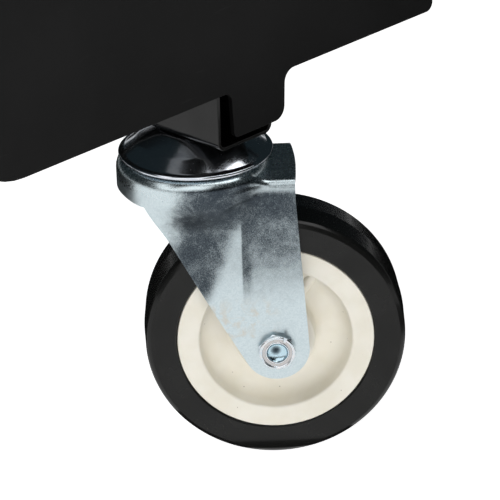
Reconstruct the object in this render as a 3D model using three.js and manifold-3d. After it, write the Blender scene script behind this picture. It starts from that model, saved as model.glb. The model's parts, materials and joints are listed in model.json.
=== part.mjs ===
// Castored corner of a folding table's undercarriage: a sheet-steel end plate welded to a
// rectangular cross tube, which stands on a swivel castor. Millimetres, +Z up.
// The row's origin is on the swivel axis at the tube's top face; X runs along the plate and
// Y along the tube. The castor is drawn in its own frame, with the floor at z = 0 and the
// wheel trailing along +X, and is then turned under the tube.
import * as THREE from "three";
import { mergeVertices } from "three/addons/utils/BufferGeometryUtils.js";
import Module from "manifold-3d";

// ---- driving dimensions -------------------------------------------------------------
const GAP = 0.3; // running and assembly gap between touching pieces
const FIT = 0.35; // radial gap round a shaft, a shank or a bearing

const CASTOR_TURN = -44; // degrees, from the plate's direction to the wheel's trail
const SEAT_HEIGHT = 134; // floor to the tube's underside

const TUBE_WIDTH = 28;
const TUBE_HEIGHT = 50;
const TUBE_WALL = 1.5;
const TUBE_CORNER = 3.5;
const TUBE_OUTER_END = -26.4; // y of the end behind the plate
const TUBE_INNER_END = 70; // y of the end under the table

const SHEET = 2; // end plate
const PLATE_BACK = TUBE_OUTER_END - GAP;
const PLATE_LEFT = -137;
const PLATE_RIGHT = 102;
const PLATE_TOP = 48;
const PLATE_BOTTOM = -27;
const PLATE_CORNER = 28; // large rounded lower corner
const FLANGE_DEPTH = 24;
const FLANGE_BEND = 3;
const FLANGE_ROOT = PLATE_TOP - 8; // the flat sheet ends here and the bend begins above it
const FLANGE_HOLES = [-112, -46, 20, 80]; // x of each bolt hole
const FLANGE_HOLE_RADIUS = 3.3;
const TAB = { left: -8.4, right: 18.8, bottom: -45.4 };
const WELD = { leg: 3, length: 20, belowTop: 4 };

const TRAIL = 28; // swivel axis to axle
const WHEEL_RADIUS = 50;
const TYRE_HALF_WIDTH = 14.5;
const RIM_RADIUS = 37.5;
const RIM_FACE = 14.2;
const DISH_RADIUS = 29;
const DISH_FLOOR = 5;
const BOSS_RADIUS = 15;
const RIB_ANGLE = 56; // degrees above the trail direction
const RIB_RADIUS = 2.2;
const WHEEL_FACETS = 44;

const BEARING = { bore: 4, outer: 11, width: 7, pitch: 7.5, ball: 1.8, balls: 7, inner: 8 };
const AXLE_RADIUS = 4;
const NUT_ACROSS_FLATS = 13;

const FORK_SHEET = 2.5;
const LEG_TOP = 18.9; // from the middle to a leg's outside, under the crown
const LEG_FOOT = 22.9; // the same at the axle: the legs spread on their way down
const SPREAD_LOW = 60; // the spread ends below this height
const EYE_RADIUS = 12.4; // round end of a leg
const FRONT_LEAN = 29.3; // degrees off vertical, front edge of a leg
const REAR_LEAN = 3.6; // degrees off vertical, rear edge of a leg
const CROWN_RADIUS = 30;
const SKIRT_BOTTOM = 111.2;
const FLARE_LOW = 100; // the legs begin to flare out to the crown at this height
const FLARE_HIGH = 114; // and have reached the crown's full width at this one
const SADDLE_TOP = 117.7; // flat behind the raceway
const SADDLE_REAR = 36.3;

const UPPER_BALLS = { count: 18, radius: 3, pitch: 21.5, height: 124.1 };
const LOWER_BALLS = { count: 14, radius: 2.4, pitch: 14, height: 113.6 };
const BALL_FACETS = [8, 6];
const STEM_RADIUS = 5; // threaded stem
const PIN_RADIUS = 6.5; // kingpin through the crown

// ---- helpers --------------------------------------------------------------------------
const wasm = await Module();
wasm.setup();

const RAD = Math.PI / 180;
const v2 = (x, y) => new THREE.Vector2(x, y);

/** A closed three.js geometry as a solid that can be joined and cut. */
function solid(geometry) {
  const bare = geometry.clone();
  bare.deleteAttribute("normal");
  bare.deleteAttribute("uv");
  const welded = mergeVertices(bare, 1e-4);
  return new wasm.Manifold(
    new wasm.Mesh({
      numProp: 3,
      vertProperties: new Float32Array(welded.attributes.position.array),
      triVerts: new Uint32Array(welded.index.array),
    }),
  );
}

/** A solid as a three.js geometry again. */
function surface(body) {
  const mesh = body.getMesh();
  const geometry = new THREE.BufferGeometry();
  geometry.setAttribute("position", new THREE.BufferAttribute(new Float32Array(mesh.vertProperties), 3));
  geometry.setIndex(new THREE.BufferAttribute(new Uint32Array(mesh.triVerts), 1));
  geometry.computeVertexNormals();
  return geometry;
}

/** The first geometry with the others cut from it. */
function cut(base, ...tools) {
  return surface(tools.reduce((body, tool) => body.subtract(solid(tool)), solid(base)));
}

function join(...pieces) {
  return surface(pieces.map(solid).reduce((body, piece) => body.add(piece)));
}

function common(...pieces) {
  return surface(pieces.map(solid).reduce((body, piece) => body.intersect(piece)));
}

/** Turns a closed profile of [radius, z] points about Z. */
function turned(profile, segments = 40) {
  const ring = [...profile, profile[0]];
  const doubleArea = profile.reduce((sum, [r, z], i) => sum + r * ring[i + 1][1] - ring[i + 1][0] * z, 0);
  const points = (doubleArea > 0 ? ring : ring.reverse()).map(([r, z]) => v2(r, z));
  return new THREE.LatheGeometry(points, segments).rotateX(Math.PI / 2);
}

/** The same, about the Y axis: points are [radius, y]. */
function turnedAboutY(profile, segments = 40) {
  return turned(profile, segments).rotateX(-Math.PI / 2);
}

/** A polygon with rounded corners: each corner is [x, y, radius]. */
function roundedShape(corners) {
  const shape = new THREE.Shape();
  corners.forEach(([x, y, radius], i) => {
    const here = v2(x, y);
    const before = v2(...corners.at(i - 1).slice(0, 2)).sub(here).normalize();
    const after = v2(...corners[(i + 1) % corners.length].slice(0, 2)).sub(here).normalize();
    const half = Math.acos(THREE.MathUtils.clamp(before.dot(after), -1, 1)) / 2;
    const setback = radius / Math.tan(half);
    const start = here.clone().addScaledVector(before, setback);
    if (i === 0) shape.moveTo(start.x, start.y);
    else shape.lineTo(start.x, start.y);
    if (radius > 0) {
      const centre = before.clone().add(after).normalize().multiplyScalar(radius / Math.sin(half)).add(here);
      const end = here.clone().addScaledVector(after, setback);
      const from = Math.atan2(start.y - centre.y, start.x - centre.x);
      const to = Math.atan2(end.y - centre.y, end.x - centre.x);
      shape.absarc(centre.x, centre.y, radius, from, to, before.cross(after) > 0);
    }
  });
  shape.closePath();
  return shape;
}

const extruded = (shape, depth, curveSegments = 5) =>
  new THREE.ExtrudeGeometry(shape, { depth, bevelEnabled: false, curveSegments });

/** Shape drawn in x and y, extruded from one height to another. */
const alongZ = (shape, low, high, curves) => extruded(shape, high - low, curves).translate(0, 0, low);

/** Shape drawn in x and z, extruded along Y. */
const alongY = (shape, low, high, curves) =>
  extruded(shape, high - low, curves).rotateX(Math.PI / 2).translate(0, high, 0);

/** Shape drawn in y and z, extruded along X. */
function alongX(shape, low, high, curves) {
  const turn = new THREE.Matrix4().makeBasis(
    new THREE.Vector3(0, 1, 0),
    new THREE.Vector3(0, 0, 1),
    new THREE.Vector3(1, 0, 0),
  );
  return extruded(shape, high - low, curves).applyMatrix4(turn).translate(low, 0, 0);
}

const rod = (radius, low, high, segments = 24) =>
  new THREE.CylinderGeometry(radius, radius, high - low, segments)
    .rotateX(Math.PI / 2)
    .translate(0, 0, (low + high) / 2);

const rodAlongY = (radius, low, high, segments = 24) =>
  new THREE.CylinderGeometry(radius, radius, high - low, segments).translate(0, (low + high) / 2, 0);

const hexAlongY = (acrossFlats, low, high) =>
  new THREE.CylinderGeometry(acrossFlats / Math.sqrt(3), acrossFlats / Math.sqrt(3), high - low, 6)
    .translate(0, (low + high) / 2, 0);

const material = (color, roughness, metalness) =>
  new THREE.MeshStandardMaterial({ color, roughness, metalness });

const BLACK_PAINT = material(0x222324, 0.4, 0.1);
const GLOSS_BLACK = material(0x161716, 0.2, 0.1);
const ZINC = material(0xbcc6cc, 0.32, 1);
const BRIGHT_ZINC = material(0xc9ced2, 0.14, 1);
const BLUE_ZINC = material(0xa9c3d2, 0.25, 1);
const BALL_STEEL = material(0xb8babc, 0.1, 1);
const BLACK_TYRE = material(0x1b1b1b, 0.3, 0);
const CREAM = material(0xeae4d4, 0.5, 0);
const BLACK_PLASTIC = material(0x1c1c1c, 0.55, 0);

function add(group, name, geometry, finish) {
  const mesh = new THREE.Mesh(geometry, finish);
  mesh.name = name;
  group.add(mesh);
}

// ---- frame: plate and tube -----------------------------------------------------------
function endPlate() {
  const { left, right, bottom } = TAB;
  const face = alongY(
    roundedShape([
      [PLATE_LEFT, PLATE_TOP, 0],
      [PLATE_LEFT, PLATE_BOTTOM, PLATE_CORNER],
      [left - 0.4, PLATE_BOTTOM, 4],
      [left + 0.6, bottom, 2.4],
      [right - 0.4, bottom, 5],
      [right + 0.3, PLATE_BOTTOM, 5],
      [PLATE_RIGHT, PLATE_BOTTOM, 3.5],
      [PLATE_RIGHT, PLATE_TOP, 0],
    ]),
    PLATE_BACK - SHEET,
    PLATE_BACK,
  );
  const front = PLATE_BACK - SHEET;
  const flangeEnd = PLATE_BACK + FLANGE_DEPTH;
  const flange = alongX(
    roundedShape([
      [front, FLANGE_ROOT, 0],
      [front + SHEET, FLANGE_ROOT, 0],
      [front + SHEET, PLATE_TOP - SHEET, FLANGE_BEND - SHEET],
      [flangeEnd, PLATE_TOP - SHEET, 0],
      [flangeEnd, PLATE_TOP, 0],
      [front, PLATE_TOP, FLANGE_BEND],
    ]),
    PLATE_LEFT,
    PLATE_RIGHT,
  );
  const bendRoom = alongX(
    roundedShape([
      [front - 1, FLANGE_ROOT, 0],
      [PLATE_BACK + 1, FLANGE_ROOT, 0],
      [PLATE_BACK + 1, PLATE_TOP + 1, 0],
      [front - 1, PLATE_TOP + 1, 0],
    ]),
    PLATE_LEFT - 1,
    PLATE_RIGHT + 1,
  );
  const plate = join(cut(face, bendRoom), flange);
  const holes = FLANGE_HOLES.map((x) =>
    rod(FLANGE_HOLE_RADIUS, PLATE_TOP - 6, PLATE_TOP + 4, 16)
      .translate(x, PLATE_BACK + FLANGE_DEPTH / 2 + 2, 0),
  );
  return cut(plate, ...holes);
}

function rectangle(halfWidth, low, high, radius) {
  return roundedShape([
    [-halfWidth, low, radius],
    [halfWidth, low, radius],
    [halfWidth, high, radius],
    [-halfWidth, high, radius],
  ]);
}

function crossTube() {
  const outer = alongY(
    rectangle(TUBE_WIDTH / 2, -TUBE_HEIGHT, 0, TUBE_CORNER),
    TUBE_OUTER_END,
    TUBE_INNER_END,
  );
  const inner = alongY(
    rectangle(TUBE_WIDTH / 2 - TUBE_WALL, TUBE_WALL - TUBE_HEIGHT, -TUBE_WALL, TUBE_CORNER - TUBE_WALL),
    TUBE_OUTER_END - 1,
    TUBE_INNER_END + 1,
  );
  const stemHole = rod(STEM_RADIUS + FIT, -TUBE_HEIGHT - 1, TUBE_WALL * 2 - TUBE_HEIGHT);
  return cut(outer, inner, stemHole);
}

function tubePlug() {
  const cap = alongY(
    rectangle(TUBE_WIDTH / 2, -TUBE_HEIGHT, 0, TUBE_CORNER),
    TUBE_INNER_END + GAP,
    TUBE_INNER_END + 3,
  );
  const half = TUBE_WIDTH / 2 - TUBE_WALL - GAP;
  const low = TUBE_WALL + GAP - TUBE_HEIGHT;
  const high = -TUBE_WALL - GAP;
  const sleeve = cut(
    alongY(rectangle(half, low, high, 1.7), TUBE_INNER_END - 12, TUBE_INNER_END + 1),
    alongY(rectangle(half - 2, low + 2, high - 2, 1), TUBE_INNER_END - 13, TUBE_INNER_END - 1),
  );
  return join(cap, sleeve);
}

/** A fillet weld between the tube's side and the plate's back, drawn as a hollow quarter round. */
function weldBead() {
  const { leg, length } = WELD;
  const bead = new THREE.Shape();
  bead.moveTo(0, 0);
  bead.lineTo(leg, 0);
  bead.quadraticCurveTo(leg * 0.55, leg * 0.55, 0, leg);
  bead.closePath();
  return alongZ(bead, -WELD.belowTop - length, -WELD.belowTop, 5);
}

function buildFrame(root) {
  add(root, "end_plate", endPlate(), BLACK_PAINT);
  add(root, "cross_tube", crossTube(), GLOSS_BLACK);
  add(root, "tube_end_plug", tubePlug(), BLACK_PLASTIC);
  const side = TUBE_WIDTH / 2 + GAP;
  const back = PLATE_BACK + GAP;
  add(root, "weld_bead_right", weldBead().translate(side, back, 0), GLOSS_BLACK);
  add(root, "weld_bead_left", weldBead().rotateZ(Math.PI / 2).translate(-side, back, 0), GLOSS_BLACK);
}

// ---- castor head ---------------------------------------------------------------------
function raceCap() {
  return turned([
    [STEM_RADIUS + FIT, 133.7],
    [13.5, 133.7],
    [17, 132.6],
    [21.5, 129.6],
    [25.4, 126.6],
    [29, 124.8],
    [29, 123.4],
    [25.4, 124.4],
    [24, 126.9],
    [21, 127.8],
    [18.6, 127.8],
    [13, 131.7],
    [STEM_RADIUS + FIT, 131.7],
  ]);
}

function lowerCup() {
  return turned([
    [PIN_RADIUS + FIT, 111.2],
    [11, 111.2],
    [14, 110.9],
    [16.6, 112.2],
    [18, 113.6],
    [18, 112],
    [16.5, 109.9],
    [14, 108.9],
    [PIN_RADIUS + FIT, 109.2],
  ], 32);
}

/** Headed pin: riveted head, pin through both races, shoulder under the cap, threaded stem. */
function kingpin() {
  return turned([
    [0, 105.6],
    [8, 105.6],
    [9.5, 106.8],
    [9.5, 108.9],
    [PIN_RADIUS, 108.9],
    [PIN_RADIUS, 131.4],
    [STEM_RADIUS, 131.4],
    [STEM_RADIUS, 149],
    [STEM_RADIUS - 0.8, 150],
    [0, 150],
  ], 24);
}

function weldNut() {
  const floor = SEAT_HEIGHT + TUBE_WALL + GAP;
  const hex = hexAlongY(17, 0, 8).rotateX(Math.PI / 2).translate(0, 0, floor + 1);
  const flange = rod(11, floor, floor + 1.6);
  const bore = rod(STEM_RADIUS + FIT, floor - 1, floor + 12);
  return cut(join(hex, flange), bore);
}

function ballRing(group, name, { count, radius, pitch, height }) {
  for (let i = 0; i < count; i += 1) {
    const angle = (2 * Math.PI * i) / count;
    const ball = new THREE.SphereGeometry(radius, ...BALL_FACETS)
      .translate(pitch * Math.cos(angle), pitch * Math.sin(angle), height);
    add(group, `${name}_${String(i + 1).padStart(2, "0")}`, ball, BALL_STEEL);
  }
}

function buildHead(castor) {
  add(castor, "race_cap", raceCap(), BRIGHT_ZINC);
  add(castor, "lower_race_cup", lowerCup(), ZINC);
  add(castor, "kingpin", kingpin(), BLUE_ZINC);
  add(castor, "weld_nut", weldNut(), BALL_STEEL);
  ballRing(castor, "upper_ball", UPPER_BALLS);
  ballRing(castor, "lower_ball", LOWER_BALLS);
}

// ---- fork ----------------------------------------------------------------------------
/** Plan of the crown: round in front, narrowing behind to the width of the legs. */
function crownPlan(inset, rear) {
  const radius = CROWN_RADIUS - inset;
  const half = LEG_TOP - inset;
  const swing = 46 * RAD;
  const shape = new THREE.Shape();
  shape.moveTo(rear, half);
  shape.lineTo(28, half);
  shape.quadraticCurveTo(23.5, half, radius * Math.cos(swing), radius * Math.sin(swing));
  shape.absarc(0, 0, radius, swing, 2 * Math.PI - swing, false);
  shape.quadraticCurveTo(23.5, -half, 28, -half);
  shape.lineTo(rear, -half);
  shape.closePath();
  return shape;
}

/** Width across the fork against height: legs that spread to the feet and flare out to the crown. */
function flareSection(inset, low, high) {
  const foot = LEG_FOOT - inset;
  const leg = LEG_TOP - inset;
  const crown = CROWN_RADIUS - inset + 0.5;
  const bend = (SPREAD_LOW + FLARE_LOW) / 2;
  const middle = (FLARE_LOW + FLARE_HIGH) / 2;
  const shape = new THREE.Shape();
  shape.moveTo(-foot, low);
  shape.lineTo(foot, low);
  shape.lineTo(foot, SPREAD_LOW);
  shape.bezierCurveTo(foot, bend, leg, bend, leg, FLARE_LOW);
  shape.bezierCurveTo(leg, middle, crown, middle, crown, FLARE_HIGH);
  shape.lineTo(crown, high);
  shape.lineTo(-crown, high);
  shape.lineTo(-crown, FLARE_HIGH);
  shape.bezierCurveTo(-crown, middle, -leg, middle, -leg, FLARE_LOW);
  shape.bezierCurveTo(-leg, bend, -foot, bend, -foot, SPREAD_LOW);
  shape.closePath();
  return shape;
}

/** The crown's plan above the legs, and room for the spreading legs below it. */
function forkPlan(inset, low, high, rear) {
  const half = LEG_FOOT + 2 - inset;
  const legRoom = roundedShape([
    [-CROWN_RADIUS - 5, -half, 0],
    [rear, -half, 0],
    [rear, half, 0],
    [-CROWN_RADIUS - 5, half, 0],
  ]);
  return join(
    alongZ(crownPlan(inset, rear), FLARE_LOW - 1, high, 14),
    alongZ(legRoom, low, FLARE_LOW),
  );
}

/** Side view of the fork: skirt, leaning legs and their round ends about the axle. */
function sideOutline() {
  const front = (180 + FRONT_LEAN) * RAD;
  const rear = REAR_LEAN * RAD;
  const eyeFront = v2(TRAIL + EYE_RADIUS * Math.cos(front), WHEEL_RADIUS + EYE_RADIUS * Math.sin(front));
  const eyeRear = v2(TRAIL + EYE_RADIUS * Math.cos(rear), WHEEL_RADIUS + EYE_RADIUS * Math.sin(rear));
  const rise = SKIRT_BOTTOM - 1.5 - eyeFront.y;
  const shape = new THREE.Shape();
  shape.moveTo(-CROWN_RADIUS - 1, SADDLE_TOP + 1);
  shape.lineTo(-CROWN_RADIUS - 1, SKIRT_BOTTOM);
  shape.quadraticCurveTo(-23, SKIRT_BOTTOM, eyeFront.x - rise * Math.tan(FRONT_LEAN * RAD), eyeFront.y + rise);
  shape.lineTo(eyeFront.x, eyeFront.y);
  shape.absarc(TRAIL, WHEEL_RADIUS, EYE_RADIUS, front, 2 * Math.PI + rear, false);
  shape.lineTo(eyeRear.x - (SADDLE_TOP - 4 - eyeRear.y) * Math.tan(rear), SADDLE_TOP - 4);
  shape.lineTo(SADDLE_REAR, SADDLE_TOP + 1);
  shape.closePath();
  return shape;
}

function fork() {
  const outer = common(
    forkPlan(0, 30, SADDLE_TOP, 50),
    alongX(flareSection(0, 30, SADDLE_TOP + 1), -40, 60, 5),
    alongY(sideOutline(), -40, 40, 9),
  );
  const inner = common(
    forkPlan(FORK_SHEET, 20, SADDLE_TOP - FORK_SHEET, 60),
    alongX(flareSection(FORK_SHEET, 20, SADDLE_TOP), -40, 60, 5),
  );
  const bore = PIN_RADIUS + FIT + 0.6;
  const raceway = turned([
    [bore, SADDLE_TOP - FORK_SHEET],
    [bore, 119.2],
    [16, 119.2],
    [18.6, 120.7],
    [24.4, 120.7],
    [26.6, 122],
    [27.8, 121],
    [28, SADDLE_TOP - 1],
    [25.4, SADDLE_TOP - FORK_SHEET],
  ], 32);
  const pinHole = rod(bore, 100, 125);
  const underGroove = turned([
    [10.8, 112],
    [10.8, 115.8],
    [12, 116.4],
    [16, 116.4],
    [17.2, 115.8],
    [17.2, 112],
  ], 28);
  const axleHole = rodAlongY(AXLE_RADIUS + FIT, -30, 30).translate(TRAIL, 0, WHEEL_RADIUS);
  return cut(join(cut(outer, inner), raceway), pinHole, underGroove, axleHole);
}

// ---- wheel, axle and bearings, drawn about the Y axis and then set on the axle ---------
function lockNut() {
  const low = LEG_FOOT + GAP;
  const hex = hexAlongY(NUT_ACROSS_FLATS, -low - 2, -low);
  const collar = turnedAboutY([
    [AXLE_RADIUS + FIT, -low - 1.6],
    [6.7, -low - 1.6],
    [6.7, -low - 2.4],
    [6.2, -low - 2.8],
    [AXLE_RADIUS + FIT, -low - 2.8],
  ], 24);
  return cut(join(hex, collar), rodAlongY(AXLE_RADIUS + FIT, -40, 0));
}

function axleBolt() {
  const head = LEG_FOOT + GAP;
  const end = -LEG_FOOT - 2.7;
  const shank = turnedAboutY([
    [0, head + 1],
    [AXLE_RADIUS, head + 1],
    [AXLE_RADIUS, end + 0.4],
    [AXLE_RADIUS - 0.4, end],
    [3, end],
    [0, end + 1.2],
  ], 24);
  return join(hexAlongY(NUT_ACROSS_FLATS, head, head + 5.3), shank);
}

function bearingRing(inner, outer) {
  const { inner: near, width } = BEARING;
  return turnedAboutY([
    [inner, near],
    [outer, near],
    [outer, near + width],
    [inner, near + width],
  ], 28);
}

/** Ball cage with its balls as one piece. */
function bearingCage() {
  const { inner: near, width, pitch, ball, balls } = BEARING;
  const middle = near + width / 2;
  const ring = turnedAboutY([
    [pitch - 0.6, middle - 1.5],
    [pitch + 0.6, middle - 1.5],
    [pitch + 0.6, middle + 1.5],
    [pitch - 0.6, middle + 1.5],
  ], 21);
  const spheres = Array.from({ length: balls }, (_, i) => {
    const angle = (2 * Math.PI * i) / balls;
    return new THREE.SphereGeometry(ball, ...BALL_FACETS)
      .translate(pitch * Math.cos(angle), middle, pitch * Math.sin(angle));
  });
  return join(ring, ...spheres);
}

const otherSide = (geometry) => geometry.rotateZ(Math.PI);

function tyre() {
  const half = TYRE_HALF_WIDTH;
  const shoulder = 2.4;
  const side = (sign) => [
    [WHEEL_RADIUS - 0.4, sign * (half - shoulder)],
    [WHEEL_RADIUS - 1.1, sign * (half - shoulder * 0.35)],
    [WHEEL_RADIUS - shoulder, sign * half],
    [RIM_RADIUS + GAP, sign * half],
  ];
  return turnedAboutY([[WHEEL_RADIUS, 0], ...side(1), ...side(-1).reverse()], WHEEL_FACETS);
}

function wheelCore() {
  const seat = BEARING.outer + FIT;
  const seatEnd = BEARING.inner - GAP;
  const bossFace = BEARING.inner + BEARING.width - 0.6;
  const side = (sign) => [
    [seat, sign * seatEnd],
    [seat, sign * bossFace],
    [BOSS_RADIUS, sign * bossFace],
    [BOSS_RADIUS + 0.8, sign * (DISH_FLOOR + 1.4)],
    [BOSS_RADIUS + 2.4, sign * DISH_FLOOR],
    [DISH_RADIUS - 4, sign * (DISH_FLOOR + 1)],
    [DISH_RADIUS, sign * RIM_FACE],
    [RIM_RADIUS, sign * RIM_FACE],
  ];
  const bore = AXLE_RADIUS + 4;
  const body = turnedAboutY([[bore, seatEnd], ...side(1), ...side(-1).reverse(), [bore, -seatEnd]], WHEEL_FACETS);
  const rib = new THREE.CylinderGeometry(RIB_RADIUS, RIB_RADIUS, DISH_RADIUS - BOSS_RADIUS + 4, 12)
    .rotateZ(Math.PI / 2)
    .translate((BOSS_RADIUS + DISH_RADIUS) / 2, -DISH_FLOOR, 0)
    .rotateY(-RIB_ANGLE * RAD);
  return join(body, rib, rib.clone().translate(0, 2 * DISH_FLOOR, 0));
}

function onAxle(geometry) {
  return geometry.translate(TRAIL, 0, WHEEL_RADIUS);
}

function buildSwivel(castor) {
  const { bore, outer, width, pitch, ball, inner } = BEARING;
  const clear = ball + FIT - 0.05;
  const ringFace = inner + width + GAP;
  const legInside = LEG_FOOT - FORK_SHEET - GAP;
  const spacer = turnedAboutY([
    [AXLE_RADIUS + FIT, ringFace],
    [6.2, ringFace],
    [6.2, legInside],
    [AXLE_RADIUS + FIT, legInside],
  ], 24);
  const sleeve = turnedAboutY([
    [AXLE_RADIUS + FIT, -inner + GAP],
    [6, -inner + GAP],
    [6, inner - GAP],
    [AXLE_RADIUS + FIT, inner - GAP],
  ], 24);
  const innerRing = () => bearingRing(bore + FIT, pitch - clear);
  const outerRing = () => bearingRing(pitch + clear, outer);
  add(castor, "fork", fork(), ZINC);
  add(castor, "axle_bolt", onAxle(axleBolt()), BLUE_ZINC);
  add(castor, "axle_lock_nut", onAxle(lockNut()), BLUE_ZINC);
  add(castor, "axle_sleeve", onAxle(sleeve), BALL_STEEL);
  add(castor, "axle_spacer_far", onAxle(spacer.clone()), BALL_STEEL);
  add(castor, "axle_spacer_near", onAxle(otherSide(spacer)), BALL_STEEL);
  add(castor, "bearing_inner_ring_far", onAxle(innerRing()), BALL_STEEL);
  add(castor, "bearing_inner_ring_near", onAxle(otherSide(innerRing())), BALL_STEEL);
  add(castor, "bearing_cage_far", onAxle(bearingCage()), BALL_STEEL);
  add(castor, "bearing_cage_near", onAxle(otherSide(bearingCage())), BALL_STEEL);
  add(castor, "bearing_outer_ring_far", onAxle(outerRing()), BALL_STEEL);
  add(castor, "bearing_outer_ring_near", onAxle(otherSide(outerRing())), BALL_STEEL);
  add(castor, "wheel_core", onAxle(wheelCore()), CREAM);
  add(castor, "tyre", onAxle(tyre()), BLACK_TYRE);
}

// ---- assembly ------------------------------------------------------------------------
const assembly = new THREE.Group();
buildFrame(assembly);
const castor = new THREE.Group();
castor.rotation.z = CASTOR_TURN * RAD;
castor.position.z = -TUBE_HEIGHT - SEAT_HEIGHT;
buildHead(castor);
buildSwivel(castor);
assembly.add(castor);

export default assembly;
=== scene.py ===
"""Looks for the castored corner of a folding table: plate, tube, swivel castor and wheel, in metres."""

import json
import math

import bmesh
import bpy
from mathutils import Matrix, Vector


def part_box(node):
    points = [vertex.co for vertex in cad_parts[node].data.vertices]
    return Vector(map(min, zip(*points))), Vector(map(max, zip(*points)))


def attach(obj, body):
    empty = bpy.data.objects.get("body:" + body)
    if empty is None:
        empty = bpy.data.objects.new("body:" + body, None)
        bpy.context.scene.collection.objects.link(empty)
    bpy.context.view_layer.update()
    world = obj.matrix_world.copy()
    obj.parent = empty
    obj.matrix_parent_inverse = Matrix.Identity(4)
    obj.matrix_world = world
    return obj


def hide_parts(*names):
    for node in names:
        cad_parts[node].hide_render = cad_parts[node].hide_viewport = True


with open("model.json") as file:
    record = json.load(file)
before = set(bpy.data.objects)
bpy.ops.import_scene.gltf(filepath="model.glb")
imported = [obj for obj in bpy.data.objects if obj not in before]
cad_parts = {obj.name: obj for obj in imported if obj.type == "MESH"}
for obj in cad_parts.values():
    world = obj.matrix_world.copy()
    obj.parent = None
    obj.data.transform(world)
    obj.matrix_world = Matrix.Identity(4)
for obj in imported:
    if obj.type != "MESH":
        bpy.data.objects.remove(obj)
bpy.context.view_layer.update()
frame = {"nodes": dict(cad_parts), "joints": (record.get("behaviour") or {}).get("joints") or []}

MM = 0.001
RAD = math.pi / 180
GAP = 0.3  # kept between parts that touch, in millimetres


# ---- places, read from the frame -----------------------------------------------------------------
def joint(name):
    """The frame's entry for a joint."""
    return next(j for j in frame["joints"] if j["name"] == name)


AXLE = Vector(joint("wheel_spin")["pos_m"])
ACROSS = Vector(joint("wheel_spin")["axis"]).normalized()  # along the axle, away from the nut
TRAIL_WAY = Vector((AXLE.x, AXLE.y, 0)).normalized()
TRAIL = Vector((AXLE.x, AXLE.y)).length / MM

TYRE_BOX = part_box("tyre")
TUBE_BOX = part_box("cross_tube")
PLATE_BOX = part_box("end_plate")
PLUG_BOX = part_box("tube_end_plug")

WHEEL_RADIUS = (TYRE_BOX[1].z - TYRE_BOX[0].z) / 2 / MM
FLOOR = TYRE_BOX[0].z

# The castor's own frame, in millimetres: floor at z = 0, wheel trailing along x, axle along y.
CASTOR = Matrix.Translation((0, 0, FLOOR)) @ Matrix(
    (
        (TRAIL_WAY.x, ACROSS.x, 0, 0),
        (TRAIL_WAY.y, ACROSS.y, 0, 0),
        (0, 0, 1, 0),
        (0, 0, 0, 1),
    )
) @ Matrix.Scale(MM, 4)
# The wheel's frame: turned shapes are drawn about z, which lies along the axle.
HUB = CASTOR @ Matrix.Translation((TRAIL, 0, WHEEL_RADIUS)) @ Matrix.Rotation(-90 * RAD, 4, "X")
ROW = Matrix.Scale(MM, 4)


# ---- small helpers -------------------------------------------------------------------------------
def blend(a, b, share):
    """From a at share 0 to b at share 1."""
    return a + (b - a) * share


def smooth(low, high, value):
    """0 at low, 1 at high, with an easy start and end."""
    share = min(1.0, max(0.0, (value - low) / (high - low)))
    return share * share * (3 - 2 * share)


def rounded(corners, steps=6, closed=False):
    """A line of 2-D points whose corners (x, y, radius) are turned into arcs."""
    points = []
    last = len(corners) - 1
    for i, corner in enumerate(corners):
        here = Vector(corner[:2])
        radius = corner[2] if len(corner) > 2 else 0
        if radius == 0 or (not closed and i in (0, last)):
            points.append(here)
            continue
        before = (Vector(corners[i - 1][:2]) - here).normalized()
        after = (Vector(corners[(i + 1) % len(corners)][:2]) - here).normalized()
        half = before.angle(after) / 2
        centre = here + (before + after).normalized() * (radius / math.sin(half))
        start = here + before * (radius / math.tan(half))
        end = here + after * (radius / math.tan(half))
        first = math.atan2(start.y - centre.y, start.x - centre.x)
        sweep = math.atan2(end.y - centre.y, end.x - centre.x) - first
        sweep = (sweep + math.pi) % (2 * math.pi) - math.pi
        for k in range(steps + 1):
            angle = first + sweep * k / steps
            points.append(centre + Vector((math.cos(angle), math.sin(angle))) * radius)
    return points


def sharpen(mesh, angle):
    """Smooth shading that breaks at edges sharper than an angle in degrees."""
    for face in mesh.faces:
        face.smooth = True
    for edge in mesh.edges:
        edge.smooth = edge.calc_face_angle(0) < angle * RAD


def finish_piece(name, mesh, place, body, finish, stands_for=(), angle=35):
    """A bmesh in a local millimetre frame becomes a piece that rides on a body."""
    bmesh.ops.transform(mesh, matrix=place, verts=mesh.verts)
    bmesh.ops.remove_doubles(mesh, verts=mesh.verts, dist=1e-7)
    bmesh.ops.recalc_face_normals(mesh, faces=mesh.faces)
    sharpen(mesh, angle)
    data = bpy.data.meshes.new(name)
    mesh.to_mesh(data)
    mesh.free()
    made = bpy.data.objects.new(name, data)
    bpy.context.scene.collection.objects.link(made)
    for one in finish if isinstance(finish, (list, tuple)) else [finish]:
        data.materials.append(one)
    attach(made, body)
    if stands_for:
        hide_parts(*stands_for)
    return made


def turned(profile, segments=128, closed=True):
    """A bmesh turned about z from a line of (radius, z) points; points on the axis become one vertex."""
    mesh = bmesh.new()
    rings = []
    for radius, height in profile:
        if radius < 1e-6:
            rings.append([mesh.verts.new((0, 0, height))] * segments)
            continue
        turn = [2 * math.pi * k / segments for k in range(segments)]
        rings.append([mesh.verts.new((radius * math.cos(t), radius * math.sin(t), height)) for t in turn])
    pairs = list(zip(rings, rings[1:]))
    if closed:
        pairs.append((rings[-1], rings[0]))
    for low, high in pairs:
        for k in range(segments):
            n = (k + 1) % segments
            corners = []
            for vertex in (low[k], low[n], high[n], high[k]):
                if vertex not in corners:
                    corners.append(vertex)
            if len(corners) > 2:
                mesh.faces.new(corners)
    return mesh


def skin(mesh, rings, joined=False):
    """Quads between neighbouring closed rings, and from the last to the first when joined."""
    for near, far in zip(rings, rings[1:] + rings[:1] if joined else rings[1:]):
        for k in range(len(near)):
            n = (k + 1) % len(near)
            mesh.faces.new((near[k], near[n], far[n], far[k]))


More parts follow.
